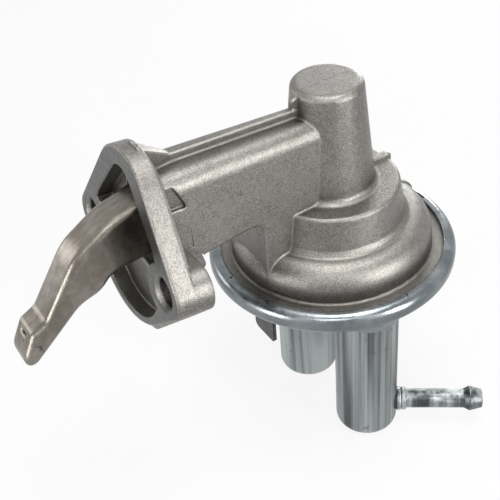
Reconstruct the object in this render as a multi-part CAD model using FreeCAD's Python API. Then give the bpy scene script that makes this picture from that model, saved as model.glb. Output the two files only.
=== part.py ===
# Mechanical fuel pump: cast body, crimped cover with two cups, rocker arm and diaphragm stack.
# Millimetres. The pump is drawn on its own axis: Z is the diaphragm axis, its zero is the face where
# the casting clamps the diaphragm, and X points from the engine into the pump. Every piece is then
# shifted so that the origin lies midway between the bolt holes on the flange face.
import FreeCAD, Part
import math
import os

V = FreeCAD.Vector

# Mounting flange, seen in its own plane: Y across, Z up, from the midpoint of the bolt holes
flangeReach = 87.4
flangeHeight = 40.5
flangeLean = 5.6
boltSpacing = 56.0
boltHoleD = 10.8
boltChamfer = 1.4
apexHeight = 21.0
apexR = 20.0
earBeyondBolt = 2.1
earDrop = -0.6
earR = 8.4
chinHeight = 2.8
chinR = 30.4
flangeT = 7.3
earT = 14.1
padInset = 4.5
recessDepth = 6.5
recessApexHeight = 26.5
recessApexR = 8.3
recessHeight = 0.3
recessR = 25.0
bossR = 11.0
faceChamfer = 0.9

# Lower cover: stamped floor and rolled rim
sheet = 1.3
rollR = 50.0
rollRound = 3.5
lipWidth = 5.0
coverDepth = 8.0
coverLedge = 8.8
stakeCount = 4
stakeDepth = 0.55

# Casting: rim and stepped tiers over the diaphragm, then the tapered tower
castWall = 3.2
rimT = 4.8
rimGap = 0.1
rimLedge = 8.3
domeTop = 19.0
domeShoulder = 9.0
tierStep = 10.5
tierTaper = 2.5
tierTop = 34.6
towerFootR = 17.7
towerTopR = 13.6
towerRise = 10.1
towerRound = 2.6
ribT = 2.4
ribProud = 1.3
finT = 2.0

# Arm housing between the flange and the tower
housingHalf = 12.4
housingTaper = 2.1
housingDraft = 0.035
crownRise = 30.3
crownOverPivot = 17.0
crownRound = 6.5
spineHalf = 1.3
spineRise = 3.3
gussetLength = 14.0
gussetRise = 7.6
gussetHalf = 3.6
archDrop = 4.6
archRise = 2.3
archRound = 5.5
sumpLength = 16.4
sumpDrop = 12.2
neckLedge = 7.5
pocketDepth = 2.0
lugRecess = 0.4

# Arm channel inside the housing
channelWall = 2.9
channelRound = 4.5
channelDrop = 11.0
crownWall = 3.8

# Pivot
pivotSetback = 16.6
pivotRise = 10.4
pinD = 8.0
runningFit = 0.05
pivotBossD = 15.0
sideGap = 0.3

# Rocker arm, stamped channel
armGap = 0.9
armSheet = 2.2
armBend = 2.5
armReach = 62.3
armDrop = 39.4
armRise = 1.0
armTail = 9.0
forkGap = 0.7

# Cups and nipples
cupR = 12.8
cupWall = 1.0
cupRound = 4.2
cupBottom = -73.3
collarWall = 1.3
collarFlare = 3.4
collarLength = 3.0
cupSpacing = 42.8
cupInset = 21.5
outletCupX = -3.4
inletCupX = -4.1
nippleRise = 10.4
outletAngle = -35.4
inletAngle = 62.0
tubeD = 8.0
tubeWall = 0.9
beadHeight = 1.25
braze = 1.0
nippleLength = 35.9

# Tab under the cover
tabT = 1.6
tabWidth = 13.8
tabDrop = 21.0
tabInset = 6.8

# Diaphragm stack and rod
diaphragmT = 1.0
diaphragmInset = 3.8
plateGap = 10.1
plateT = 1.2
plateLip = 2.0
rodD = 6.0
rodHeadD = 11.0
spigotD = 5.0
washerT = 1.6
washerR = 6.5
liftGap = 0.8

# Springs
armWireR = 1.0
armCoilR = 9.4
armPitch = 3.8
mainWireR = 1.25
mainPitch = 5.6

# Rod seal in the bulkhead between the air side and the tower
bulkheadDrop = 4.8
bulkheadT = 6.0
sealR = 8.0
sealT = 4.5
retainerT = 1.2

# Check valves, one in each cup
seatDepth = 7.6
seatT = 1.6
stemR = 1.3
valveR = 8.6
valveT = 1.5
valveGap = 0.05
valveWireR = 0.45
valveCoilR = 3.4
valveLength = 4.25
valvePitch = 1.6
portR = 1.9
portRing = 5.0
portCount = 5

# Places that follow from the sizes above
pivotX = -flangeReach + pivotSetback
pivotZ = flangeHeight + pivotRise
backX = -flangeReach + flangeT
crownAtFlange = flangeHeight + crownRise
crownAtTower = pivotZ + crownOverPivot
towerTop = crownAtTower + towerRise
towerSideX = -8.0
coverWallR = rollR - coverLedge
lipR = rollR - lipWidth
rimR = rollR - sheet - rimGap
rimRound = min(rollRound - sheet + rimGap, 0.48 * rimT)
domeR = rimR - rimLedge
tierFootR = domeR - tierStep
tierTopR = tierFootR - tierTaper
chamberR = domeR - castWall
riserR = tierTopR - castWall
airTop = tierTop - bulkheadDrop
boreFloor = airTop + bulkheadT
boreR = towerFootR - castWall - 1.3
channelHalf = housingHalf - channelWall
channelFloor = pivotZ - channelDrop
armHalf = channelHalf - housingTaper + 0.5 - armGap
armTopZ = pivotZ + armRise
armTipX = pivotX - armReach
cupTop = -coverDepth + 0.6
outletCupAt = V(outletCupX, cupInset - rollR, 0)
inletCupAt = V(inletCupX, outletCupAt.y + cupSpacing, 0)
nippleZ = cupBottom + nippleRise
collarR = cupR + collarWall
diaphragmR = rollR - diaphragmInset
plateR = chamberR - plateGap
retainerR = riserR - 4.3
mainCoilR = retainerR - 4.3
seatZ = cupTop - seatDepth


def cornerPoints(corners):
    """Tangent points and arc midpoint of every rounded corner of a closed outline."""
    result = []
    count = len(corners)
    for i in range(count):
        point = V(corners[i][0], corners[i][1], 0)
        radius = corners[i][2] if len(corners[i]) > 2 else 0
        if radius == 0:
            result.append((point, None, point))
            continue
        before = V(corners[i - 1][0], corners[i - 1][1], 0)
        after = V(corners[(i + 1) % count][0], corners[(i + 1) % count][1], 0)
        toBefore = (before - point).normalize()
        toAfter = (after - point).normalize()
        half = toBefore.getAngle(toAfter) / 2
        reach = radius / math.tan(half)
        inward = (toBefore + toAfter).normalize()
        middle = point + inward * (radius / math.sin(half) - radius)
        result.append((point + toBefore * reach, middle, point + toAfter * reach))
    return result


def outline(corners, place):
    """Closed wire of lines and tangent arcs; place turns a flat point into space."""
    marks = cornerPoints(corners)
    edges = []
    for i, (start, middle, end) in enumerate(marks):
        if middle is not None:
            edges.append(Part.Arc(place(start), place(middle), place(end)).toShape())
        nextStart = marks[(i + 1) % len(marks)][0]
        if end.distanceToPoint(nextStart) > 1e-6:
            edges.append(Part.makeLine(place(end), place(nextStart)))
    return Part.Wire(edges)


def onXZ(p):
    return V(p.x, 0, p.y)


def onYZ(x):
    return lambda p: V(x, p.x, p.y)


def turned(corners, at=V(0, 0, 0)):
    """Body of revolution about a Z axis, from corners (radius, height, rounding)."""
    solid = Part.Face(outline(corners, onXZ)).revolve(V(0, 0, 0), V(0, 0, 1), 360)
    solid.translate(at)
    return solid


def slab(corners, halfWidth):
    """Side profile in XZ, pulled out evenly to both sides."""
    solid = Part.Face(outline(corners, onXZ)).extrude(V(0, 2 * halfWidth, 0))
    solid.translate(V(0, -halfWidth, 0))
    return solid


def hullWire(circles, x):
    """Belt round several circles (y, z, radius), listed anticlockwise seen from +X."""
    normals = []
    for i, (y1, z1, r1) in enumerate(circles):
        y2, z2, r2 = circles[(i + 1) % len(circles)]
        gap = math.hypot(y2 - y1, z2 - z1)
        along = V((y2 - y1) / gap, (z2 - z1) / gap, 0)
        lean = (r1 - r2) / gap
        normals.append(along * lean + V(along.y, -along.x, 0) * math.sqrt(1 - lean * lean))
    edges = []
    for i, (y, z, r) in enumerate(circles):
        into, out = normals[i - 1], normals[i]
        middle = (into + out).normalize()
        if into.x * out.y < into.y * out.x:
            middle = middle * -1
        place = onYZ(x)
        centre = V(y, z, 0)
        edges.append(Part.Arc(place(centre + into * r), place(centre + middle * r),
                              place(centre + out * r)).toShape())
        following = circles[(i + 1) % len(circles)]
        nextPoint = V(following[0], following[1], 0) + out * following[2]
        edges.append(Part.makeLine(place(centre + out * r), place(nextPoint)))
    return Part.Wire(edges)


def flangeCircles(shrink):
    earOffset = boltSpacing / 2 + earBeyondBolt
    return [(0, apexHeight, apexR - shrink), (-earOffset, earDrop, earR - shrink),
            (0, chinHeight, chinR - shrink), (earOffset, earDrop, earR - shrink)]


def flangeFrame():
    """Leaning plane of the flange face, in the pump's own frame."""
    turn = FreeCAD.Rotation(V(0, 1, 0), flangeLean)
    return FreeCAD.Placement(V(-flangeReach, 0, flangeHeight), turn)


def inPump(solid):
    solid.Placement = flangeFrame().multiply(solid.Placement)
    return solid


def cylinderX(radius, x0, x1, y, z):
    return Part.makeCylinder(radius, x1 - x0, V(x0, y, z), V(1, 0, 0))


def cylinderY(radius, y0, y1, x, z):
    return Part.makeCylinder(radius, y1 - y0, V(x, y0, z), V(0, 1, 0))


def cylinderZ(radius, z0, z1, at=V(0, 0, 0)):
    return Part.makeCylinder(radius, z1 - z0, V(at.x, at.y, z0), V(0, 0, 1))


def archSection(x, half, draft, floor, crown, floorRound, crownRound):
    return outline([(-half - draft, floor, floorRound), (half + draft, floor, floorRound),
                    (half, crown, crownRound), (-half, crown, crownRound)], onYZ(x))


def coil(coilR, wireR, z0, z1, pitch, at=V(0, 0, 0)):
    """Open spring between two flat seats, made of half turns that rise evenly and meet tangent."""
    rise = z1 - z0 - 2 * wireR
    count = max(3, round(2 * rise / pitch))
    step = rise / count
    halves = []
    for i in range(count):
        side = 1 if i % 2 == 0 else -1
        section = Part.Face(Part.Wire([Part.makeCircle(wireR, V(side * coilR, 0, i * step), V(0, 1, 0))]))
        halves.append(section.revolve(V(0, 0, (i + 0.5) * step), V(side * step / 2, 0, coilR), 180))
    spring = halves[0].multiFuse(halves[1:])
    spring.translate(V(at.x, at.y, z0 + wireR))
    return spring


# Casting
def flangeSolid():
    """Plate with bevelled front edge, backed behind its recess and thicker at the two ears."""
    front = Part.makeLoft([hullWire(flangeCircles(faceChamfer), 0), hullWire(flangeCircles(0), faceChamfer)],
                          True, True)
    plate = Part.Face(hullWire(flangeCircles(0), faceChamfer)).extrude(V(flangeT - faceChamfer, 0, 0))
    pad = Part.Face(hullWire(flangeCircles(padInset), faceChamfer)).extrude(
        V(recessDepth + castWall - faceChamfer, 0, 0))
    solid = front.fuse(plate).fuse(pad)
    earOffset = boltSpacing / 2 + earBeyondBolt
    for side in (-1, 1):
        ear = hullWire([(side * earOffset, earDrop, earR), (side * (earOffset - earR - 0.5), earDrop, earR),
                        (side * chinR / 2, -chinR / 2 + 1.5, earR + 0.9)][::side], faceChamfer)
        solid = solid.fuse(Part.Face(ear).extrude(V(earT - faceChamfer, 0, 0)))
    return inPump(solid)


def flangeRecess():
    """Shallow mouth in the flange face, waisted round the two bolt bosses."""
    mouth = Part.Face(hullWire([(0, recessApexHeight, recessApexR), (0, recessHeight, recessR)], -1))
    mouth = mouth.extrude(V(recessDepth + 1, 0, 0))
    for side in (-1, 1):
        mouth = mouth.cut(cylinderX(bossR, -2, recessDepth + 1, side * boltSpacing / 2, 0))
    return inPump(mouth)


def boltHoles():
    holes = []
    for side in (-1, 1):
        y = side * boltSpacing / 2
        holes.append(inPump(cylinderX(boltHoleD / 2, -1, earT + 10, y, 0)))
        cone = Part.makeCone(boltHoleD / 2 + boltChamfer + 0.1, boltHoleD / 2, boltChamfer + 0.1,
                             V(-0.1, y, 0), V(1, 0, 0))
        holes.append(inPump(cone))
    return holes


def housingSolid():
    """Rounded crown and drafted sides, cut to its side outline: sump, arch and neck into the tiers."""
    low = rimT + 1
    startX = backX - 1
    envelope = Part.makeLoft([
        archSection(startX, housingHalf, housingDraft * (crownAtFlange - low), low, crownAtFlange, 0, crownRound),
        archSection(towerSideX, housingHalf - housingTaper, housingDraft * (crownAtTower - low), low, crownAtTower,
                    0, crownRound)], True, True)
    sumpX = backX + sumpLength
    archZ = flangeHeight - archDrop
    neckX = -tierFootR - neckLedge
    sumpZ = flangeHeight - sumpDrop
    top = max(crownAtFlange, crownAtTower) + 10
    side = slab([(startX, sumpZ - 1.5), (sumpX + 1.9, sumpZ, 2), (sumpX, archZ, 0.8), (neckX, archZ + archRise, archRound),
                 (neckX - 1, low), (towerSideX, low), (towerSideX, top), (startX, top)], 2 * housingHalf)
    return envelope.common(side)


def spineSolid():
    """Narrow ridge along the crown, widening where it meets the flange, and a fin up the tower."""
    def cut(x, half, top):
        return outline([(-half, top - 8), (half, top - 8), (half, top), (-half, top)], onYZ(x))
    startX = backX + gussetLength
    along = (startX - backX) / (towerSideX - backX)
    startTop = crownAtFlange + (crownAtTower - crownAtFlange) * along + spineRise
    endTop = crownAtTower + spineRise
    ridge = Part.makeLoft([cut(startX, spineHalf, startTop), cut(towerSideX, spineHalf, endTop)], True, True)
    gusset = Part.makeLoft([cut(backX + 2, gussetHalf, startTop + gussetRise), cut(startX, spineHalf, startTop)], True, True)
    finX = -towerTopR - 2.6
    fin = slab([(-towerTopR + 1, endTop - 2), (finX, endTop - 2), (finX, towerTop - towerRound, 1.0),
                (-towerTopR + 1, towerTop - towerRound + 1)], finT / 2)
    return ridge.fuse(gusset).fuse(fin)


def tiersSolid():
    """Rim, dome, tier and tower as one turned form."""
    ledge = tierTopR - towerFootR
    shoulder = min(domeShoulder, domeR - tierFootR - 1.3)
    return turned([(0, 0), (rimR, 0, rimRound), (rimR, rimT, rimRound), (domeR, rimT, 0.8),
                   (domeR, domeTop, shoulder), (tierFootR + 1.2, domeTop + 0.2, 1.6),
                   (tierFootR - 0.3, domeTop + 2.4, 1.0), (tierTopR, tierTop, min(1.4, 0.4 * ledge)),
                   (towerFootR, tierTop, min(2.6, 0.4 * ledge)), (towerTopR, towerTop, towerRound), (0, towerTop)])


def ribSolids():
    """Two small fins at the back, one on each tier."""
    tierSide = tierTopR + ribProud + 0.5
    domeSide = domeR + 0.7 * ribProud
    crest = domeTop + 0.3 * ribProud
    upper = slab([(towerFootR - 2, tierTop - 6), (tierSide, tierTop - 6), (tierSide, tierTop + 0.7 * ribProud, 1.4),
                  (towerFootR - 2, tierTop + ribProud)], ribT / 2)
    lower = slab([(tierFootR - 3, crest - 8), (domeR - 3, rimT - 1), (domeSide, rimT - 1),
                  (domeSide, crest, min(domeShoulder, domeSide - tierFootR - 1.3)), (tierFootR - 3, crest)], ribT / 2)
    return [upper, lower]


def channelSection(x, half, floor, crown):
    return archSection(x, half, 0, floor, crown, 3, channelRound)


def chamberSolids():
    """Hollows: air side of the diaphragm, bore of the tower and channel for the arm."""
    airRoof = domeTop - castWall
    airSide = turned([(0, -1), (chamberR, -1), (chamberR, airRoof, 7), (riserR + 2.4, airRoof, 2),
                      (riserR, airTop, 2), (0, airTop)])
    tower = turned([(0, boreFloor), (boreR, boreFloor, 2), (boreR - 2.0, towerTop - castWall, 2),
                    (0, towerTop - castWall)])
    mouthX = -flangeReach + recessDepth - 0.5
    bendX = backX + sumpLength
    endX = towerSideX + 2
    middle = channelSection(bendX, channelHalf - 0.4, channelFloor, crownAtFlange - crownWall - 1)
    mouth = Part.makeLoft([channelSection(mouthX, channelHalf, channelFloor - 6.4, crownAtFlange - crownWall), middle],
                          True, True)
    inner = Part.makeLoft([middle, channelSection(endX, channelHalf - housingTaper + 0.5, channelFloor + 1.6,
                                                  crownAtTower - crownWall)], True, True)
    sealBore = cylinderZ(sealR, airTop - 1, airTop + sealT)
    rodBore = cylinderZ(rodD / 2 + 0.6, airTop - 1, boreFloor + 1)
    return [airSide, tower, mouth, inner, sealBore, rodBore]


def pocketSolids():
    """Pockets in both sides of the housing, above and below the pivot lug, and the lug's own step."""
    start = backX - 6
    end = backX + sumpLength
    lugTop = pivotZ + 7.6
    lugLow = pivotZ - 10.0
    archZ = flangeHeight - archDrop
    upper = [(start, lugTop + 1.2), (end - 3.4, lugTop - 0.6, 1.0), (end - 7.6, lugTop + 9.0, 1.0),
             (start, lugTop + 10.8)]
    lower = [(start, lugLow + 1.3), (end - 4.3, lugLow - 0.2, 1.0), (end + 0.5, archZ - 0.4), (end + 3, archZ - 14),
             (start, archZ - 14)]
    step = [(start, lugTop + 2), (end - 3.2, lugTop), (end - 3.2, lugLow), (start, lugLow)]
    pockets = []
    for side in (-1, 1):
        for corners, depth in ((upper, pocketDepth), (lower, pocketDepth), (step, lugRecess)):
            pocket = slab(corners, 4.0)
            pocket.translate(V(0, side * (housingHalf + housingDraft * (crownAtFlange - pivotZ) + 4.0 - depth), 0))
            pockets.append(pocket)
    return pockets


def bodyCasting():
    solid = tiersSolid()
    for piece in [housingSolid(), spineSolid()] + ribSolids():
        solid = solid.fuse(piece)
    for piece in pocketSolids():
        solid = solid.cut(piece)
    solid = solid.fuse(flangeSolid())
    for piece in chamberSolids() + [flangeRecess()] + boltHoles():
        solid = solid.cut(piece)
    # bosses beside the arm, then the blind pin bore from the far side
    for y0, y1 in ((-housingHalf, -armHalf - sideGap), (armHalf + sideGap, housingHalf)):
        solid = solid.fuse(cylinderY(pivotBossD / 2, y0, y1, pivotX, pivotZ))
    solid = solid.cut(cylinderY(pinD / 2, -housingHalf + 2.4, housingHalf + 3, pivotX, pivotZ))
    return solid.removeSplitter()


# Lower cover, cups and nipples
def coverCollar(at):
    flareR = collarR + collarFlare
    low = -coverDepth - collarLength
    return turned([(0, -2.0), (flareR, -2.0), (collarR, -coverDepth + 1.4, 3.0), (collarR, low), (0, low)], at)


def lowerCover():
    """Stamped cover: shallow floor, two cup collars, rim rolled over the casting's rim."""
    clamp = -diaphragmT
    top = rimT + sheet
    outside = turned([(0, -coverDepth), (coverWallR, -coverDepth, 4), (coverWallR, clamp - sheet, 2.0),
                      (rollR, clamp - sheet, rollRound), (rollR, top, rollRound), (lipR, top, 0.5),
                      (lipR, rimT), (0, rimT)])
    inside = turned([(0, -coverDepth + sheet), (coverWallR - sheet, -coverDepth + sheet, 2.7),
                     (coverWallR - sheet, clamp, 0.8), (rollR - sheet, clamp, rimRound - rimGap),
                     (rollR - sheet, rimT, rimRound - rimGap), (lipR - 1, rimT), (lipR - 1, rimT + 2),
                     (0, rimT + 2)])
    solid = outside
    for at in (outletCupAt, inletCupAt):
        solid = solid.fuse(coverCollar(at))
    solid = solid.cut(inside)
    for at in (outletCupAt, inletCupAt):
        solid = solid.cut(cylinderZ(cupR, -coverDepth - collarLength - 1, -coverDepth + sheet + 2.0, at))
    # stake marks: the lip is driven down over a short arc
    for i in range(stakeCount):
        mark = Part.makeBox(3.0, 5.0, 2.0, V(lipR - 1.2, -2.5, top - stakeDepth))
        mark.rotate(V(0, 0, 0), V(0, 0, 1), i * 360 / stakeCount)
        solid = solid.cut(mark)
    return solid.removeSplitter()


def nippleFrame(at, angle):
    turn = FreeCAD.Rotation(V(0, 0, 1), angle).multiply(FreeCAD.Rotation(V(0, 1, 0), 90))
    return FreeCAD.Placement(V(at.x, at.y, nippleZ), turn)


def drawnCup(at, angle):
    """Deep-drawn cup with a round hole for its nipple."""
    inner = cupR - cupWall
    cup = turned([(0, cupBottom), (cupR, cupBottom, cupRound), (cupR, cupTop), (inner, cupTop),
                  (inner, cupBottom + cupWall, cupRound - cupWall), (0, cupBottom + cupWall)], at)
    hole = Part.makeCylinder(tubeD / 2, 2 * cupR)
    hole.Placement = nippleFrame(at, angle)
    return cup.cut(hole)


def nipple(at, angle):
    """Beaded hose tube with two upset rings where it is brazed to the cup."""
    start = cupR - cupWall - 0.8
    root = cupR - 0.1
    end = root + nippleLength
    tube = tubeD / 2
    ring = tube + braze
    bore = tube - tubeWall
    outer = [(tube, start), (tube, root), (ring, root, 0.4), (ring, root + 1.7, 0.6),
             (tube + 0.5, root + 2.0), (ring - 0.1, root + 2.3, 0.6), (ring - 0.1, root + 3.8, 0.6),
             (tube, root + 4.2), (tube, end - 7.6, 2.0), (tube + beadHeight, end - 5.2, 1.2),
             (tube - 0.1, end, 0.4)]
    solid = turned(outer + [(bore, end), (bore, start)])
    solid.Placement = nippleFrame(at, angle)
    return solid


def coverTab():
    """Stamped tab: foot welded flat under the cover, leg hanging down on the arm side."""
    legX = -coverWallR + tabInset
    half = tabWidth / 2
    bottom = -coverDepth - tabDrop
    leg = Part.Face(outline([(-half, -coverDepth), (half, -coverDepth), (half, bottom, 2.6), (-half, bottom, 1.0)],
                            onYZ(legX))).extrude(V(tabT, 0, 0))
    foot = Part.makeBox(9.0, tabWidth, tabT, V(legX, -half, -coverDepth - tabT))
    return leg.fuse(foot).removeSplitter()


# Rocker arm and its pivot
def armPoint(along, down, rounding=0):
    """Point of the arm's side outline, as shares of its reach from the pivot and of its drop."""
    return (pivotX - along * armReach, armTopZ - down * armDrop, rounding)


def armBack(inset):
    """Back edge of the arm from tail to tip; inset gives the inside of the sheet."""
    drop = inset / armDrop
    back = inset / armReach
    return [(armTail, armTopZ - inset, 0), (-14.0, armTopZ - inset, 14),
            armPoint(0.066, -0.33 + drop, 26), armPoint(0.382 - 0.4 * back, -0.187 + 0.9 * drop, 22 - inset),
            armPoint(0.6 - 0.65 * back, 0.023 + 0.7 * drop, 22 - inset),
            armPoint(0.832 - 0.75 * back, 0.556 + 0.66 * drop, 4 + inset),
            armPoint(0.927 - 0.4 * back, 0.634 + drop, 3.6 - 0.6 * inset), armPoint(1 - back, 0.858, 7 - inset)]


def armOuter():
    belly = [armPoint(0.995, 0.99, 2.4), armPoint(0.925, 0.952, 3), armPoint(0.62, 0.536, 14),
             armPoint(0.482, 0.475, 9), armPoint(0.397, 0.34, 8), armPoint(0, 0.282, 14),
             (pivotX + 36.6, armTopZ - 7.6, 10), (armTail, armTopZ - 7.6, 3)]
    return slab(armBack(0) + belly, armHalf)


def armInner():
    inner = armBack(armSheet)
    inner[0] = (armTail + 2.0, armTopZ - armSheet, 0)
    low = armTopZ - armDrop - 8
    return slab(inner + [(armTipX + armSheet, low), (armTail + 2.0, low)], armHalf - armSheet)


def rockerArm():
    """Folded channel: bent edges, fork round the rod, pivot holes, wear pad and vent slot."""
    solid = armOuter()
    bends = []
    padZ = armTopZ - 0.86 * armDrop
    for edge in solid.Edges:
        box = edge.BoundBox
        middle = edge.valueAt((edge.FirstParameter + edge.LastParameter) / 2)
        atSide = abs(abs(box.YMin) - armHalf) < 1e-3 and box.YLength < 1e-3
        if atSide and middle.z > min(armTopZ - 1, middle.x - armTipX + padZ + 2.5):
            bends.append(edge)
    solid = solid.makeFillet(armBend, bends)
    solid = solid.cut(armInner())
    forkWidth = rodD + 2 * forkGap
    fork = Part.makeBox(20, forkWidth, 12, V(0, -forkWidth / 2, armTopZ - 10)).fuse(
        cylinderZ(forkWidth / 2, armTopZ - 10, armTopZ + 2))
    solid = solid.cut(fork)
    solid = solid.cut(cylinderY(pinD / 2 + runningFit, -armHalf - 1, armHalf + 1, pivotX, pivotZ))
    slot = Part.makeBox(8, 4.2, 1.5, V(armTipX - 2, -2.1, padZ + 6))
    return solid.cut(slot)


def pivotBush():
    outer = cylinderY(pinD / 2 + 2.0, -armHalf + armSheet, armHalf - armSheet, pivotX, pivotZ)
    return outer.cut(cylinderY(pinD / 2 + runningFit, -armHalf, armHalf, pivotX, pivotZ))


def pivotPin():
    return cylinderY(pinD / 2, -housingHalf + 2.4, housingHalf + 0.4, pivotX, pivotZ)


def armSpringSeat():
    inner, outer = armCoilR - 1.6, armCoilR + 1.6
    return turned([(inner, armTopZ), (outer, armTopZ), (outer, armTopZ + 2.2), (outer - 0.4, armTopZ + 2.2),
                   (outer - 0.4, armTopZ + 1.2), (inner, armTopZ + 1.2)])


def armSpring():
    return coil(armCoilR, armWireR, armTopZ + 1.2, towerTop - castWall, armPitch)


# Diaphragm stack
def pullRod():
    """Turned rod: upset head above the arm, shoulder on the plate, spigot through the stack."""
    rod = rodD / 2
    head = rodHeadD / 2
    spigot = spigotD / 2
    headZ = armTopZ + liftGap + washerT
    return turned([(0, -diaphragmT - 3.4), (spigot, -diaphragmT - 3.4), (spigot, plateT), (head, plateT),
                   (head, plateT + 2.0, 0.6), (rod, plateT + 2.4), (rod, headZ), (head, headZ),
                   (head, headZ + 2.6, 1.0), (0, headZ + 2.6)])


def rodWasher():
    z = armTopZ + liftGap
    return cylinderZ(washerR, z, z + washerT).cut(cylinderZ(rodD / 2, z - 1, z + washerT + 1))


def diaphragm():
    """Fabric-reinforced sheet with one shallow convolution between the plates and the rim."""
    spigot = spigotD / 2
    start = plateR + plateLip + 0.5
    width = chamberR - 0.7 - start
    crest = start + width / 2
    height = 0.38 * width
    top = [(spigot, 0), (start, 0, 0.43 * width), (crest, height, 0.35 * width), (start + width, 0, 0.43 * width),
           (diaphragmR, 0)]
    low = [(start + width, -diaphragmT, 0.5 * width), (crest, height - diaphragmT, 0.23 * width),
           (start, -diaphragmT, 0.5 * width)]
    return turned(top + [(diaphragmR, -diaphragmT)] + low + [(spigot, -diaphragmT)])


def upperPlate():
    spigot = spigotD / 2
    return turned([(spigot, 0), (plateR, 0, 1.4), (plateR + 0.8 * plateLip, 3.2), (plateR + 0.2 * plateLip, 3.2),
                   (plateR - 1.2, plateT, 1.0), (spigot, plateT)])


def lowerPlate():
    z = -diaphragmT
    spigot = spigotD / 2
    return turned([(spigot, z), (spigot, z - plateT), (plateR - 2, z - plateT, 2), (plateR, z - plateT - 1.4),
                   (plateR + 1.0, z - plateT - 0.6), (plateR - 1.4, z, 2)])


def rodRivet():
    z = -diaphragmT - plateT
    spigot = spigotD / 2
    return turned([(spigot, z), (6.0, z), (6.0, z - 0.9), (4.4, z - 2.0, 0.6), (spigot, z - 2.0)])


def diaphragmSpring():
    return coil(mainCoilR, mainWireR, plateT, airTop - retainerT, mainPitch)


def rodSeal():
    rod = rodD / 2 + runningFit
    return turned([(rod, airTop), (sealR, airTop), (sealR, airTop + sealT), (rod + 1.4, airTop + sealT),
                   (rod, airTop + sealT - 1.5)])


def sealRetainer():
    hole = rodD / 2 + 1.2
    low = airTop - retainerT
    return turned([(hole, low), (retainerR - retainerT, low, 0.6), (retainerR - retainerT, low - 3.2),
                   (retainerR, low - 3.2), (retainerR, airTop, 1.6), (hole, airTop)])


# Check valves
def valveSeat(at):
    """Round plate pressed into the cup, with a ring of ports and a stem hole."""
    solid = cylinderZ(cupR - cupWall, seatZ - seatT, seatZ, at).cut(cylinderZ(stemR, seatZ - 3, seatZ + 1, at))
    for i in range(portCount):
        turn = math.radians(i * 360 / portCount)
        port = V(at.x + portRing * math.cos(turn), at.y + portRing * math.sin(turn), 0)
        solid = solid.cut(cylinderZ(portR, seatZ - 3, seatZ + 1, port))
    return solid


def valveFace(way):
    return seatZ if way > 0 else seatZ - seatT


def valveDisc(at, way):
    z = valveFace(way) + way * valveGap
    low, high = sorted((z, z + way * valveT))
    return cylinderZ(valveR, low, high, at).cut(cylinderZ(stemR + 0.2, low - 1, high + 1, at))


def springEnds(way):
    """Heights of a valve spring's ends: on the disc and under the stem's head."""
    start = valveFace(way) + way * (valveGap + valveT)
    return start, start + way * valveLength


def valveStem(at, way):
    """Headed stem, riveted in the seat; its head holds the spring."""
    head = springEnds(way)[1]
    low, high = sorted((valveFace(-way) - way * 0.8, head + way * 0.8))
    stem = cylinderZ(stemR, low, high, at)
    low, high = sorted((head, head + way * 0.8))
    return stem.fuse(cylinderZ(valveCoilR + 1.2, low, high, at)).removeSplitter()


def valveSpring(at, way):
    low, high = sorted(springEnds(way))
    return coil(valveCoilR, valveWireR, low, high, valvePitch, at)


# Output
nodes = {
    "body_casting": bodyCasting(),
    "lower_cover": lowerCover(),
    "outlet_cup": drawnCup(outletCupAt, outletAngle),
    "inlet_cup": drawnCup(inletCupAt, inletAngle),
    "outlet_nipple": nipple(outletCupAt, outletAngle),
    "inlet_nipple": nipple(inletCupAt, inletAngle),
    "cover_tab": coverTab(),
    "rocker_arm": rockerArm(),
    "pivot_bush": pivotBush(),
    "pivot_pin": pivotPin(),
    "arm_spring_seat": armSpringSeat(),
    "arm_spring": armSpring(),
    "pull_rod": pullRod(),
    "rod_washer": rodWasher(),
    "diaphragm": diaphragm(),
    "upper_plate": upperPlate(),
    "lower_plate": lowerPlate(),
    "rod_rivet": rodRivet(),
    "diaphragm_spring": diaphragmSpring(),
    "rod_seal": rodSeal(),
    "seal_retainer": sealRetainer(),
}
for name, at, way in (("outlet", outletCupAt, -1), ("inlet", inletCupAt, 1)):
    nodes[name + "_valve_seat"] = valveSeat(at)
    nodes[name + "_valve_disc"] = valveDisc(at, way)
    nodes[name + "_valve_stem"] = valveStem(at, way)
    nodes[name + "_valve_spring"] = valveSpring(at, way)

os.makedirs("parts", exist_ok=True)
for name, shape in nodes.items():
    moved = shape.copy()
    moved.translate(V(flangeReach, 0, -flangeHeight))
    moved.exportStep("parts/" + name + ".step")
    print(name, "valid" if moved.isValid() else "NOT VALID", len(moved.Solids), round(moved.Volume, 1))
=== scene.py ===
import bpy
import math
from mathutils import Matrix, Vector


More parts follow.
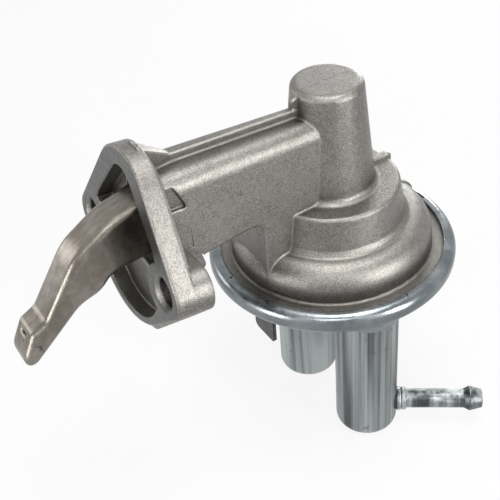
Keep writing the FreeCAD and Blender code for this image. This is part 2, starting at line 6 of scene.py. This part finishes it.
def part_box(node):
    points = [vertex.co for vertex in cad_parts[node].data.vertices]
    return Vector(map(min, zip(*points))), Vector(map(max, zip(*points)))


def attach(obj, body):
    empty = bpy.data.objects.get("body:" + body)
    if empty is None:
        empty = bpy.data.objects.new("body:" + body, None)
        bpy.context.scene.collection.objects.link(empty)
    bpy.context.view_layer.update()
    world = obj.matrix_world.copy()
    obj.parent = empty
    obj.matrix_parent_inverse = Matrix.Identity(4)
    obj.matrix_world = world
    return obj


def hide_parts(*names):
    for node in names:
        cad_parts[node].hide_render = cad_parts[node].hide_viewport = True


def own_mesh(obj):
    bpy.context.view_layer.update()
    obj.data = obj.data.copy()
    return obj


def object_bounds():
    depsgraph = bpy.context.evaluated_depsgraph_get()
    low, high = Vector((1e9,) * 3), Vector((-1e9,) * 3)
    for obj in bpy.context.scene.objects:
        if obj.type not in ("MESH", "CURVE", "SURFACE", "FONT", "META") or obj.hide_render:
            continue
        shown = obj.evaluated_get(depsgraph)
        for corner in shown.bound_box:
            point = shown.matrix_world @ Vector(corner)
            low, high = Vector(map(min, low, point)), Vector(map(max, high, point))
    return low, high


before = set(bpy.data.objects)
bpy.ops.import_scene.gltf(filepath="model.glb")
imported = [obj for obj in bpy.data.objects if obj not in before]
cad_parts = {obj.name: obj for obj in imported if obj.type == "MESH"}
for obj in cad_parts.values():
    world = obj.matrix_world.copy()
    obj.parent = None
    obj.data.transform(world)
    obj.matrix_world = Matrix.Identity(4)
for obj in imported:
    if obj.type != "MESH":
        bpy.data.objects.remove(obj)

cadBox = [list(v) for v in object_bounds()]

# places in the mounting frame, metres
mm = 0.001
towerTopZ = 37.5 * mm
flangeLean = math.radians(5.6)


# shader shorthand: every helper adds a node or two and hands back the output
def newTree(name):
    material = bpy.data.materials.new(name)
    material.use_nodes = True
    return material, material.node_tree


def add(tree, kind, inputs, output=0, **settings):
    made = tree.nodes.new("ShaderNode" + kind)
    for key, value in settings.items():
        setattr(made, key, value)
    for key, value in inputs.items():
        if isinstance(value, bpy.types.NodeSocket):
            tree.links.new(value, made.inputs[key])
        else:
            made.inputs[key].default_value = value
    return made.outputs[output]


def calc(tree, operation, a, b=0.0, clamp=False):
    return add(tree, "Math", {0: a, 1: b}, operation=operation, use_clamp=clamp)


def weighed(tree, values, shares):
    # sum of the values, each times its share
    parts = [calc(tree, "MULTIPLY", value, share) for value, share in zip(values, shares)]
    total = parts[0]
    for part in parts[1:]:
        total = calc(tree, "ADD", total, part)
    return total


def noise(tree, scale, detail, rough, stretch=(1, 1, 1), shift=(0, 0, 0)):
    place = add(tree, "TexCoord", {}, "Object")
    place = add(tree, "Mapping", {"Vector": place, "Scale": stretch, "Location": shift})
    return add(tree, "TexNoise", {"Vector": place, "Scale": scale, "Detail": detail, "Roughness": rough}, "Fac")


def ease(tree, value, low, high, toLow=0.0, toHigh=1.0):
    inputs = {"Value": value, "From Min": low, "From Max": high, "To Min": toLow, "To Max": toHigh}
    return add(tree, "MapRange", inputs, interpolation_type="SMOOTHSTEP")


def blend(tree, factor, a, b):
    a, b = ((*c, 1) if isinstance(c, tuple) else c for c in (a, b))
    return add(tree, "Mix", {0: factor, 6: a, 7: b}, 2, data_type="RGBA")


def tint(tree, mask, share, under, over):
    # lays a colour over another where the mask is 1, as strongly as the share says
    return blend(tree, calc(tree, "MULTIPLY", mask, share), under, over)


def bump(tree, height, distance, strength, under=None):
    inputs = {"Height": height, "Distance": distance, "Strength": strength}
    if under is not None:
        inputs["Normal"] = under
    return add(tree, "Bump", inputs)


def softNormal(tree, radius):
    return add(tree, "Bevel", {"Radius": radius}, samples=6)


def edgeMask(tree, rounded, low, high):
    # how far the rounded normal turns away from the true one: 1 on corners, 0 on open faces
    straight = add(tree, "NewGeometry", {}, "True Normal")
    same = add(tree, "VectorMath", {0: rounded, 1: straight}, "Value", operation="DOT_PRODUCT")
    return ease(tree, same, low, high, 1.0, 0.0)


def paintedCornerShade(tree, colour, cornerShade, reach, deep, clear, most):
    # painted shade: darkens towards the given tone where ambient occlusion finds the surface deep in a corner
    light = add(tree, "AmbientOcclusion", {"Distance": reach}, "AO", samples=6)
    return blend(tree, ease(tree, light, deep, clear, most, 0.0), colour, cornerShade)


def finish(tree, colour, rough, metal, normal, coat=0.0, coatRough=0.2):
    surface = tree.nodes["Principled BSDF"]
    tree.links.new(colour, surface.inputs["Base Color"])
    tree.links.new(rough, surface.inputs["Roughness"])
    tree.links.new(normal, surface.inputs["Normal"])
    surface.inputs["Metallic"].default_value = metal
    surface.inputs["Coat Weight"].default_value = coat
    surface.inputs["Coat Roughness"].default_value = coatRough


# In the looks below a noise is (scale, detail, roughness), a spread is the part of the noise
# that runs from the first colour to the second, a bump is (depth in metres, strength), and
# cornerShade, the painted shade in corners, is (reach in metres, where it is full, where it ends, how strong).

# casting: shot-blasted aluminium, milled flange face, faint parting line over the tower, painted highlight on
# rounded edges and painted shade in corners
castLook = {
    "nodes": ["body_casting"],
    # the edge colour is a painted highlight along rounded edges
    "dark": (0.114, 0.109, 0.099), "light": (0.262, 0.253, 0.235), "edge": (0.42, 0.413, 0.394),
    # the crevice tone is painted shade in corners; the parting line uses it too as its seam colour
    "crevice": (0.060, 0.053, 0.044),
    "milledDark": (0.095, 0.095, 0.093), "milledLight": (0.125, 0.125, 0.122),
    "rough": (0.33, 0.43), "metal": 1.0,
    "grain": (2300, 3, 0.7), "coarse": (520, 3, 0.6), "cloud": (42, 4, 0.6), "shares": (0.72, 0.14, 0.14),
    "spread": (0.38, 0.62), "grainDepth": 0.17 * mm,
    "sheen": (380, 3, 0.6), "sheenSpread": (0.3, 0.7),
    # rounded edges: bevel radius, where the painted highlight starts and ends, and how strong it is
    "edgeRadius": 1.3 * mm, "edgeTurn": (0.90, 0.995), "edgeShare": 0.35,
    # painted shade in corners, from ambient occlusion
    "cornerShade": (9 * mm, 0.25, 0.85, 0.85),
    # cutter lines on the milled face, and how far behind it the blasted skin begins
    "cutter": (900, 2, 0.5), "cutterStretch": (1, 0.05, 1), "cutterSpread": (0.3, 0.7),
    "skinStart": (0.10 * mm, 0.18 * mm), "milledGrain": 0.15,
    # parting line: how it wanders, its width, tone and depth, and how far down the tower it goes
    "wander": (150, 2, 0.5), "wanderWidth": 0.8 * mm, "partingWidth": 0.32 * mm, "partingTone": 0.7,
    "partingDepth": 0.5, "partingEnd": (0.5 * mm, 0.2 * mm),
}


def behindFlange(tree, x, z):
    # distance behind the leaning flange face
    return calc(tree, "SUBTRACT", calc(tree, "MULTIPLY", x, math.cos(flangeLean)),
                calc(tree, "MULTIPLY", z, math.sin(flangeLean)))


def partingLine(tree, look, y, z):
    # where the two die halves met, only on the tower's flat top
    sway = calc(tree, "SUBTRACT", noise(tree, *look["wander"]), 0.5)
    offset = calc(tree, "ADD", y, calc(tree, "MULTIPLY", sway, look["wanderWidth"]))
    line = ease(tree, calc(tree, "ABSOLUTE", offset), 0.0, look["partingWidth"], 1.0, 0.0)
    low, high = (towerTopZ - below for below in look["partingEnd"])
    return calc(tree, "MULTIPLY", line, ease(tree, z, low, high))


def castAluminium():
    look = castLook
    material, tree = newTree("castAluminium")
    rounded = softNormal(tree, look["edgeRadius"])
    grains = [noise(tree, *look[name]) for name in ("grain", "coarse", "cloud")]
    mixture = weighed(tree, grains, look["shares"])
    colour = blend(tree, ease(tree, mixture, *look["spread"]), look["dark"], look["light"])
    # painted highlight along the rounded edges, convex and concave alike
    sheenMask = edgeMask(tree, rounded, *look["edgeTurn"])
    colour = tint(tree, sheenMask, look["edgeShare"], colour, look["edge"])
    # painted shade: darker towards the crevice tone deep in corners
    colour = paintedCornerShade(tree, colour, look["crevice"], *look["cornerShade"])

    place = add(tree, "TexCoord", {}, "Object")
    x, y, z = (add(tree, "SeparateXYZ", {0: place}, axis) for axis in "XYZ")
    depth = behindFlange(tree, x, z)
    cutterLines = noise(tree, *look["cutter"], stretch=look["cutterStretch"])
    milled = blend(tree, ease(tree, cutterLines, *look["cutterSpread"]), look["milledDark"], look["milledLight"])
    colour = blend(tree, ease(tree, depth, *look["skinStart"], 1.0, 0.0), colour, milled)
    line = partingLine(tree, look, y, z)
    # the parting line takes the crevice tone of the painted shade as its seam colour
    colour = tint(tree, line, look["partingTone"], colour, look["crevice"])

    rough = ease(tree, noise(tree, *look["sheen"]), *look["sheenSpread"], *look["rough"])
    blasted = ease(tree, depth, *look["skinStart"], look["milledGrain"], 1.0)
    height = calc(tree, "SUBTRACT", calc(tree, "MULTIPLY", mixture, blasted),
                  calc(tree, "MULTIPLY", line, look["partingDepth"]))
    normal = bump(tree, height, look["grainDepth"], 1.0, under=rounded)
    finish(tree, colour, rough, look["metal"], normal)
    return material


# cover: bright zinc sheet, rim rolled over the casting
coverLook = {
    "nodes": ["lower_cover", "upper_plate", "lower_plate", "seal_retainer",
              "outlet_valve_seat", "inlet_valve_seat"],
    "base": (0.142, 0.160, 0.169), "cloud": (0.239, 0.259, 0.271), "speck": (0.068, 0.071, 0.074),
    # the crevice tone is painted shade in corners
    "crevice": (0.028, 0.030, 0.031), "rough": (0.20, 0.34), "metal": 1.0,
    "clouds": (65, 4, 0.62), "cloudSpread": (0.34, 0.68),
    "specks": (800, 2, 0.6), "speckSpread": (0.66, 0.74), "speckShare": 0.5,
    # painted shade in corners, from ambient occlusion
    "cornerShade": (4 * mm, 0.15, 0.7, 0.8),
    # rolling marks lie flat, so they are stretched sideways
    "rolled": (900, 3, 0.6), "rolledStretch": (0.25, 0.25, 1.5), "rolledBump": (0.04 * mm, 0.5),
    "roughShares": (0.6, 0.4), "roughSpread": (0.36, 0.64),
    "dents": (240, 3, 0.6), "dentBump": (0.10 * mm, 0.35),
}


def zincSheet():
    look = coverLook
    material, tree = newTree("zincSheet")
    clouds = noise(tree, *look["clouds"])
    colour = blend(tree, ease(tree, clouds, *look["cloudSpread"]), look["base"], look["cloud"])
    specks = ease(tree, noise(tree, *look["specks"]), *look["speckSpread"])
    colour = tint(tree, specks, look["speckShare"], colour, look["speck"])
    # painted shade in corners
    colour = paintedCornerShade(tree, colour, look["crevice"], *look["cornerShade"])
    rolled = noise(tree, *look["rolled"], stretch=look["rolledStretch"])
    sheenMask = weighed(tree, (clouds, rolled), look["roughShares"])
    rough = ease(tree, sheenMask, *look["roughSpread"], *look["rough"])
    dents = bump(tree, noise(tree, *look["dents"]), *look["dentBump"])
    finish(tree, colour, rough, look["metal"], bump(tree, rolled, *look["rolledBump"], under=dents))
    return material


# cups and nipples: drawn sheet, zinc plated, with draw lines down the wall and broad painted reflection bands
cupLook = {
    "nodes": ["outlet_cup", "inlet_cup", "outlet_nipple", "inlet_nipple"],
    # the streak colour is the light of the draw lines and of the painted reflection bands
    "base": (0.062, 0.069, 0.071), "streakAndReflection": (0.41, 0.44, 0.44), "stainAndShade": (0.060, 0.060, 0.058),
    "rough": (0.34, 0.46), "metal": 1.0, "brushed": 0.8,
    "streaks": (300, 4, 0.62), "streakStretch": (1, 1, 0.02),
    # broad bands: painted reflection stripes down the wall, placed by the shift
    "reflectionBands": (85, 2, 0.5), "broadStretch": (1, 1, 0.04), "broadShift": (0.3, 0.1, 0.2),
    "shares": (0.5, 0.5), "spread": (0.38, 0.62), "streakBump": (0.3 * mm, 0.6),
    "stains": (160, 4, 0.65), "stainSpread": (0.60, 0.74), "stainShare": 0.4,
    # painted shade in corners, in the stain tone, from ambient occlusion
    "cornerShade": (3 * mm, 0.15, 0.75, 0.8), "roughSpread": (0.3, 0.7),
    "skin": (600, 3, 0.6), "skinBump": (0.03 * mm, 0.4),
}


def drawnCup():
    look = cupLook
    material, tree = newTree("drawnCup")
    streaks = noise(tree, *look["streaks"], stretch=look["streakStretch"])
    # painted reflection bands, mixed below with the draw lines
    reflectionBands = noise(tree, *look["reflectionBands"], stretch=look["broadStretch"], shift=look["broadShift"])
    tone = weighed(tree, (streaks, reflectionBands), look["shares"])
    colour = blend(tree, ease(tree, tone, *look["spread"]), look["base"], look["streakAndReflection"])
    stains = ease(tree, noise(tree, *look["stains"]), *look["stainSpread"])
    colour = tint(tree, stains, look["stainShare"], colour, look["stainAndShade"])
    # painted shade in corners, in the same tone as the stains
    colour = paintedCornerShade(tree, colour, look["stainAndShade"], *look["cornerShade"])
    rough = ease(tree, streaks, *look["roughSpread"], *look["rough"])
    skin = bump(tree, noise(tree, *look["skin"]), *look["skinBump"])
    finish(tree, colour, rough, look["metal"], bump(tree, tone, *look["streakBump"], under=skin))
    # polished on the turn, so lamps draw out into lines down the wall
    surface = tree.nodes["Principled BSDF"]
    surface.inputs["Anisotropic"].default_value = look["brushed"]
    tree.links.new(add(tree, "Tangent", {}, direction_type="RADIAL", axis="Z"), surface.inputs["Tangent"])
    return material


# rocker arm: hardened pressed steel under an oil film, mottled brown and grey, with a painted highlight on the
# bends
armLook = {
    "nodes": ["rocker_arm"],
    # the bright tone is a painted highlight on the bends
    "brown": (0.142, 0.125, 0.105), "grey": (0.239, 0.222, 0.197), "bright": (0.376, 0.359, 0.331),
    "stainAndShade": (0.031, 0.027, 0.023), "rough": (0.28, 0.42), "metal": 1.0, "oil": 0.25, "oilRough": 0.22,
    "mottle": (46, 5, 0.62), "fine": (620, 4, 0.65), "fineStretch": (0.4, 1, 0.4), "shares": (0.62, 0.38),
    "spread": (0.38, 0.64), "edgeRadius": 1.6 * mm, "edgeTurn": (0.88, 0.99), "edgeShare": 0.6,
    "nicks": (190, 4, 0.7), "nickSpread": (0.66, 0.73), "nickShare": 0.7,
    "roughSpread": (0.3, 0.7), "mottleBump": (1.2 * mm, 0.3), "fineBump": (0.09 * mm, 0.6),
}


def armSteel():
    look = armLook
    material, tree = newTree("armSteel")
    rounded = softNormal(tree, look["edgeRadius"])
    mottle = noise(tree, *look["mottle"])
    fine = noise(tree, *look["fine"], stretch=look["fineStretch"])
    tone = weighed(tree, (mottle, fine), look["shares"])
    colour = blend(tree, ease(tree, tone, *look["spread"]), look["brown"], look["grey"])
    # painted highlight on the bends
    sheenMask = edgeMask(tree, rounded, *look["edgeTurn"])
    colour = tint(tree, sheenMask, look["edgeShare"], colour, look["bright"])
    nicks = ease(tree, noise(tree, *look["nicks"]), *look["nickSpread"])
    colour = tint(tree, nicks, look["nickShare"], colour, look["stainAndShade"])
    rough = ease(tree, mottle, *look["roughSpread"], *look["rough"])
    waves = bump(tree, mottle, *look["mottleBump"], under=rounded)
    normal = bump(tree, fine, *look["fineBump"], under=waves)
    finish(tree, colour, rough, look["metal"], normal, coat=look["oil"], coatRough=look["oilRough"])
    return material


# tab: dull dark zinc
tabLook = {
    "nodes": ["cover_tab"],
    "dark": (0.043, 0.044, 0.047), "light": (0.103, 0.105, 0.108), "rough": (0.34, 0.52), "metal": 1.0,
    "clouds": (150, 4, 0.65), "spread": (0.35, 0.68), "roughSpread": (0.3, 0.7), "edgeRadius": 0.3 * mm,
    "skin": (900, 3, 0.6), "skinBump": (0.05 * mm, 0.4),
}


def dullSheet():
    look = tabLook
    material, tree = newTree("dullSheet")
    rounded = softNormal(tree, look["edgeRadius"])
    clouds = noise(tree, *look["clouds"])
    colour = blend(tree, ease(tree, clouds, *look["spread"]), look["dark"], look["light"])
    rough = ease(tree, clouds, *look["roughSpread"], *look["rough"])
    normal = bump(tree, noise(tree, *look["skin"]), *look["skinBump"], under=rounded)
    finish(tree, colour, rough, look["metal"], normal)
    return material


# pins, rod and washers: ground steel
pinLook = {
    "nodes": ["pivot_bush", "pivot_pin", "arm_spring_seat", "pull_rod", "rod_washer", "rod_rivet",
              "outlet_valve_stem", "inlet_valve_stem"],
    "dark": (0.36, 0.36, 0.37), "light": (0.58, 0.58, 0.59), "rough": (0.2, 0.36), "metal": 1.0,
    "turned": (1500, 3, 0.6), "turnedStretch": (1, 0.1, 1), "spread": (0.3, 0.7), "turnedBump": (0.04 * mm, 0.5),
}


def groundSteel():
    look = pinLook
    material, tree = newTree("groundSteel")
    turned = noise(tree, *look["turned"], stretch=look["turnedStretch"])
    colour = blend(tree, ease(tree, turned, *look["spread"]), look["dark"], look["light"])
    rough = ease(tree, turned, *look["spread"], *look["rough"])
    finish(tree, colour, rough, look["metal"], bump(tree, turned, *look["turnedBump"]))
    return material


# springs: oiled wire
springLook = {
    "nodes": ["arm_spring", "diaphragm_spring", "outlet_valve_spring", "inlet_valve_spring"],
    "dark": (0.11, 0.105, 0.10), "light": (0.26, 0.255, 0.25), "rough": (0.28, 0.45), "metal": 1.0,
    "film": (300, 4, 0.6), "spread": (0.3, 0.7), "filmBump": (0.05 * mm, 0.5),
}


def springWire():
    look = springLook
    material, tree = newTree("springWire")
    film = noise(tree, *look["film"])
    colour = blend(tree, ease(tree, film, *look["spread"]), look["dark"], look["light"])
    rough = ease(tree, film, *look["spread"], *look["rough"])
    finish(tree, colour, rough, look["metal"], bump(tree, film, *look["filmBump"]))
    return material


# diaphragm, seal and valve discs: black rubber with a little bloom
rubberLook = {
    "nodes": ["diaphragm", "rod_seal", "outlet_valve_disc", "inlet_valve_disc"],
    "dark": (0.018, 0.018, 0.019), "bloom": (0.055, 0.054, 0.052), "rough": (0.55, 0.8), "metal": 0.0,
    "blooms": (220, 4, 0.65), "spread": (0.35, 0.7), "roughSpread": (0.3, 0.7),
    "skin": (1800, 3, 0.6), "skinBump": (0.08 * mm, 0.5),
}


def blackRubber():
    look = rubberLook
    material, tree = newTree("blackRubber")
    blooms = noise(tree, *look["blooms"])
    colour = blend(tree, ease(tree, blooms, *look["spread"]), look["dark"], look["bloom"])
    rough = ease(tree, blooms, *look["roughSpread"], *look["rough"])
    finish(tree, colour, rough, look["metal"], bump(tree, noise(tree, *look["skin"]), *look["skinBump"]))
    return material


def dressNodes():
    finishes = [(castAluminium, castLook), (zincSheet, coverLook), (drawnCup, cupLook), (armSteel, armLook),
                (dullSheet, tabLook), (groundSteel, pinLook), (springWire, springLook), (blackRubber, rubberLook)]
    for make, look in finishes:
        material = make()
        for name in look["nodes"]:
            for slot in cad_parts[name].material_slots:
                slot.material = material
    print("nodes dressed")


# coils: true helices in place of the plain CAD springs
coils = {
    # piece: node, joint, wire radius, pitch, which end stays put, how far the other end moves
    "armCoil": ("arm_spring", "arm_pivot", 1.0 * mm, 3.8 * mm, "top", 7.2 * mm),
    "mainCoil": ("diaphragm_spring", "rod_lift", 1.25 * mm, 5.6 * mm, "top", 5.7 * mm),
    "outletCoil": ("outlet_valve_spring", "outlet_valve_lift", 0.45 * mm, 1.6 * mm, "foot", 1.65 * mm),
    "inletCoil": ("inlet_valve_spring", "inlet_valve_lift", 0.45 * mm, 1.6 * mm, "top", 1.65 * mm),
}
coilDetail = {"stepsPerTurn": 30, "sides": 10}


def coilMesh(name, low, high, wire, pitch):
    middleX, middleY = (low[0] + high[0]) / 2, (low[1] + high[1]) / 2
    radius = (high[0] - low[0]) / 2 - wire
    rise = high[2] - low[2] - 2 * wire
    turns = round(2 * rise / pitch) / 2      # to the nearest half turn
    steps = round(turns * coilDetail["stepsPerTurn"])
    sides = coilDetail["sides"]
    points = []
    for i in range(steps + 1):
        angle = 2 * math.pi * turns * i / steps
        out = Vector((math.cos(angle), math.sin(angle), 0))
        core = Vector((middleX, middleY, low[2] + wire + rise * i / steps)) + out * radius
        for j in range(sides):
            turn = 2 * math.pi * j / sides
            points.append(core + out * (wire * math.cos(turn)) + Vector((0, 0, wire * math.sin(turn))))
    # the wire's two flat ends, then its wall
    faces = [tuple(range(sides)), tuple(range(steps * sides, (steps + 1) * sides))[::-1]]
    for i in range(steps):
        for j in range(sides):
            a, b = i * sides + j, i * sides + (j + 1) % sides
            faces.append((a, a + sides, b + sides, b))
    mesh = bpy.data.meshes.new(name)
    mesh.from_pydata(points, [], faces)
    for face in mesh.polygons:
        face.use_smooth = len(face.vertices) == 4
    return mesh


def windCoils():
    material = springWire()
    for name, (node, joint, wire, pitch, fixedEnd, travel) in coils.items():
        low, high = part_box(node)
        mesh = coilMesh(name, low, high, wire, pitch)
        mesh.materials.append(material)
        coil = bpy.data.objects.new(name, mesh)
        bpy.context.scene.collection.objects.link(coil)
        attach(coil, "pump")
        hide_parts(node)
        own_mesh(coil)
    print("coils wound")


# camera: worked out from the photo's perspective, metres and degrees
view = {
    "azimuth": -28.5, "elevation": 38.75, "roll": 5.20, "fieldOfView": 28.07,
    "place": (-0.09387, -0.26419, 0.21777),
    "sensorWidth": 36.0,                     # millimetres, as Blender gives it
    "clip": (0.01, 20),
}


def placeCamera():
    a, e, r = (math.radians(view[k]) for k in ("azimuth", "elevation", "roll"))
    back = Vector((math.sin(a) * math.cos(e), -math.cos(a) * math.cos(e), math.sin(e)))
    side = Vector((math.cos(a), math.sin(a), 0))
    rise = back.cross(side)
    right = side * math.cos(r) - rise * math.sin(r)
    up = rise * math.cos(r) + side * math.sin(r)
    data = bpy.data.cameras.new("photoCamera")
    data.sensor_fit = "AUTO"
    data.sensor_width = view["sensorWidth"]
    data.lens = view["sensorWidth"] / 2 / math.tan(math.radians(view["fieldOfView"]) / 2)
    data.clip_start, data.clip_end = view["clip"]
    camera = bpy.data.objects.new("photoCamera", data)
    bpy.context.scene.collection.objects.link(camera)
    camera.matrix_world = Matrix.Translation(view["place"]) @ Matrix((right, up, back)).transposed().to_4x4()
    bpy.context.scene.camera = camera
    print("camera placed")


# studio: a few softboxes in a grey room. Camera, metal and glass see plain white in place of the
# room, which only sends its soft light
studio = {
    "middle": (0.04, 0.0, -0.03),
    "boxes": {
        # name: place, width and height, watts
        "topBox": ((0.16, -0.06, 0.70), (0.40, 0.34), 4.1),
        "cameraBox": ((-0.26, -0.52, 0.58), (0.34, 0.24), 1.9),
        "frontBox": ((0.34, -0.72, 0.18), (0.20, 0.46), 5.8),
        "leftBox": ((-0.76, -0.10, 0.08), (0.24, 0.40), 3.9),
        "backBox": ((-0.46, 0.62, 0.16), (0.24, 0.30), 0.9),
        "rightBox": ((0.64, 0.52, 0.08), (0.30, 0.26), 2.5),
    },
    # grey of the room from straight down to straight up, with a touch of blue
    "room": [(0.0, 0.22), (0.46, 0.18), (0.56, 0.10), (0.74, 0.09), (0.90, 0.30), (1.0, 0.42)],
    "roomBlue": 1.01,
}


def addBox(name, place, size, power):
    data = bpy.data.lights.new(name, "AREA")
    data.shape = "RECTANGLE"
    data.size, data.size_y = size
    data.energy = power
    lamp = bpy.data.objects.new(name, data)
    bpy.context.scene.collection.objects.link(lamp)
    lamp.location = place
    lamp.rotation_mode = "QUATERNION"
    lamp.rotation_quaternion = (Vector(studio["middle"]) - Vector(place)).to_track_quat("-Z", "Y")


def seenRays(tree):
    # 1 for rays from the camera, and for those that metal and glass send to the background
    kinds = [add(tree, "LightPath", {}, "Is " + kind + " Ray") for kind in ("Camera", "Glossy", "Transmission")]
    return calc(tree, "ADD", calc(tree, "ADD", kinds[0], kinds[1]), kinds[2], clamp=True)


def lightStudio():
    world = bpy.data.worlds.new("studio")
    bpy.context.scene.world = world
    world.use_nodes = True
    tree = world.node_tree
    height = add(tree, "SeparateXYZ", {0: add(tree, "TexCoord", {}, "Generated")}, "Z")
    spread = add(tree, "MapRange", {"Value": height, "From Min": -1, "From Max": 1})
    ramp = tree.nodes.new("ShaderNodeValToRGB")
    for i, (at, grey) in enumerate(studio["room"]):
        # a new ramp comes with two stops
        stop = ramp.color_ramp.elements[i] if i < 2 else ramp.color_ramp.elements.new(at)
        stop.position = at
        stop.color = (grey, grey, grey * studio["roomBlue"], 1)
    tree.links.new(spread, ramp.inputs["Fac"])
    room = add(tree, "Background", {"Color": ramp.outputs["Color"], "Strength": 1.0})
    white = add(tree, "Background", {"Color": (1, 1, 1, 1), "Strength": 1.0})
    shown = add(tree, "MixShader", {0: seenRays(tree), 1: room, 2: white})
    tree.links.new(shown, tree.nodes["World Output"].inputs["Surface"])
    for name, (place, size, power) in studio["boxes"].items():
        addBox(name, place, size, power)
    bpy.context.scene.view_settings.view_transform = "Standard"
    print("studio lit")


# floor: plain white paper just under the cups; the lift takes it near white for the rays that see it
paper = {
    "gap": 0.5 * mm, "half": 3.0,
    "dark": (0.58, 0.58, 0.58), "light": (0.62, 0.62, 0.62), "rough": (0.75, 0.85), "metal": 0.0,
    "grain": (80, 3, 0.6), "spread": (0.3, 0.7), "grainBump": (0.1 * mm, 0.2), "lift": 0.88,
}


def layFloor():
    low = cadBox[0][2] - paper["gap"]
    half = paper["half"]
    mesh = bpy.data.meshes.new("floor")
    corners = [(-half, -half, low), (half, -half, low), (half, half, low), (-half, half, low)]
    mesh.from_pydata(corners, [], [(0, 1, 2, 3)])
    floor = bpy.data.objects.new("floor", mesh)
    bpy.context.scene.collection.objects.link(floor)
    material, tree = newTree("floorPaper")
    grain = noise(tree, *paper["grain"])
    colour = blend(tree, ease(tree, grain, *paper["spread"]), paper["dark"], paper["light"])
    rough = ease(tree, grain, *paper["spread"], *paper["rough"])
    finish(tree, colour, rough, paper["metal"], bump(tree, grain, *paper["grainBump"]))
    glow = add(tree, "Emission", {"Color": (1, 1, 1, 1), "Strength": 1.0})
    lifted = calc(tree, "MULTIPLY", seenRays(tree), paper["lift"])
    shown = add(tree, "MixShader", {0: lifted, 1: tree.nodes["Principled BSDF"].outputs[0], 2: glow})
    tree.links.new(shown, tree.nodes["Material Output"].inputs["Surface"])
    mesh.materials.append(material)
    print("floor laid")


dressNodes()
windCoils()
placeCamera()
lightStudio()
layFloor()
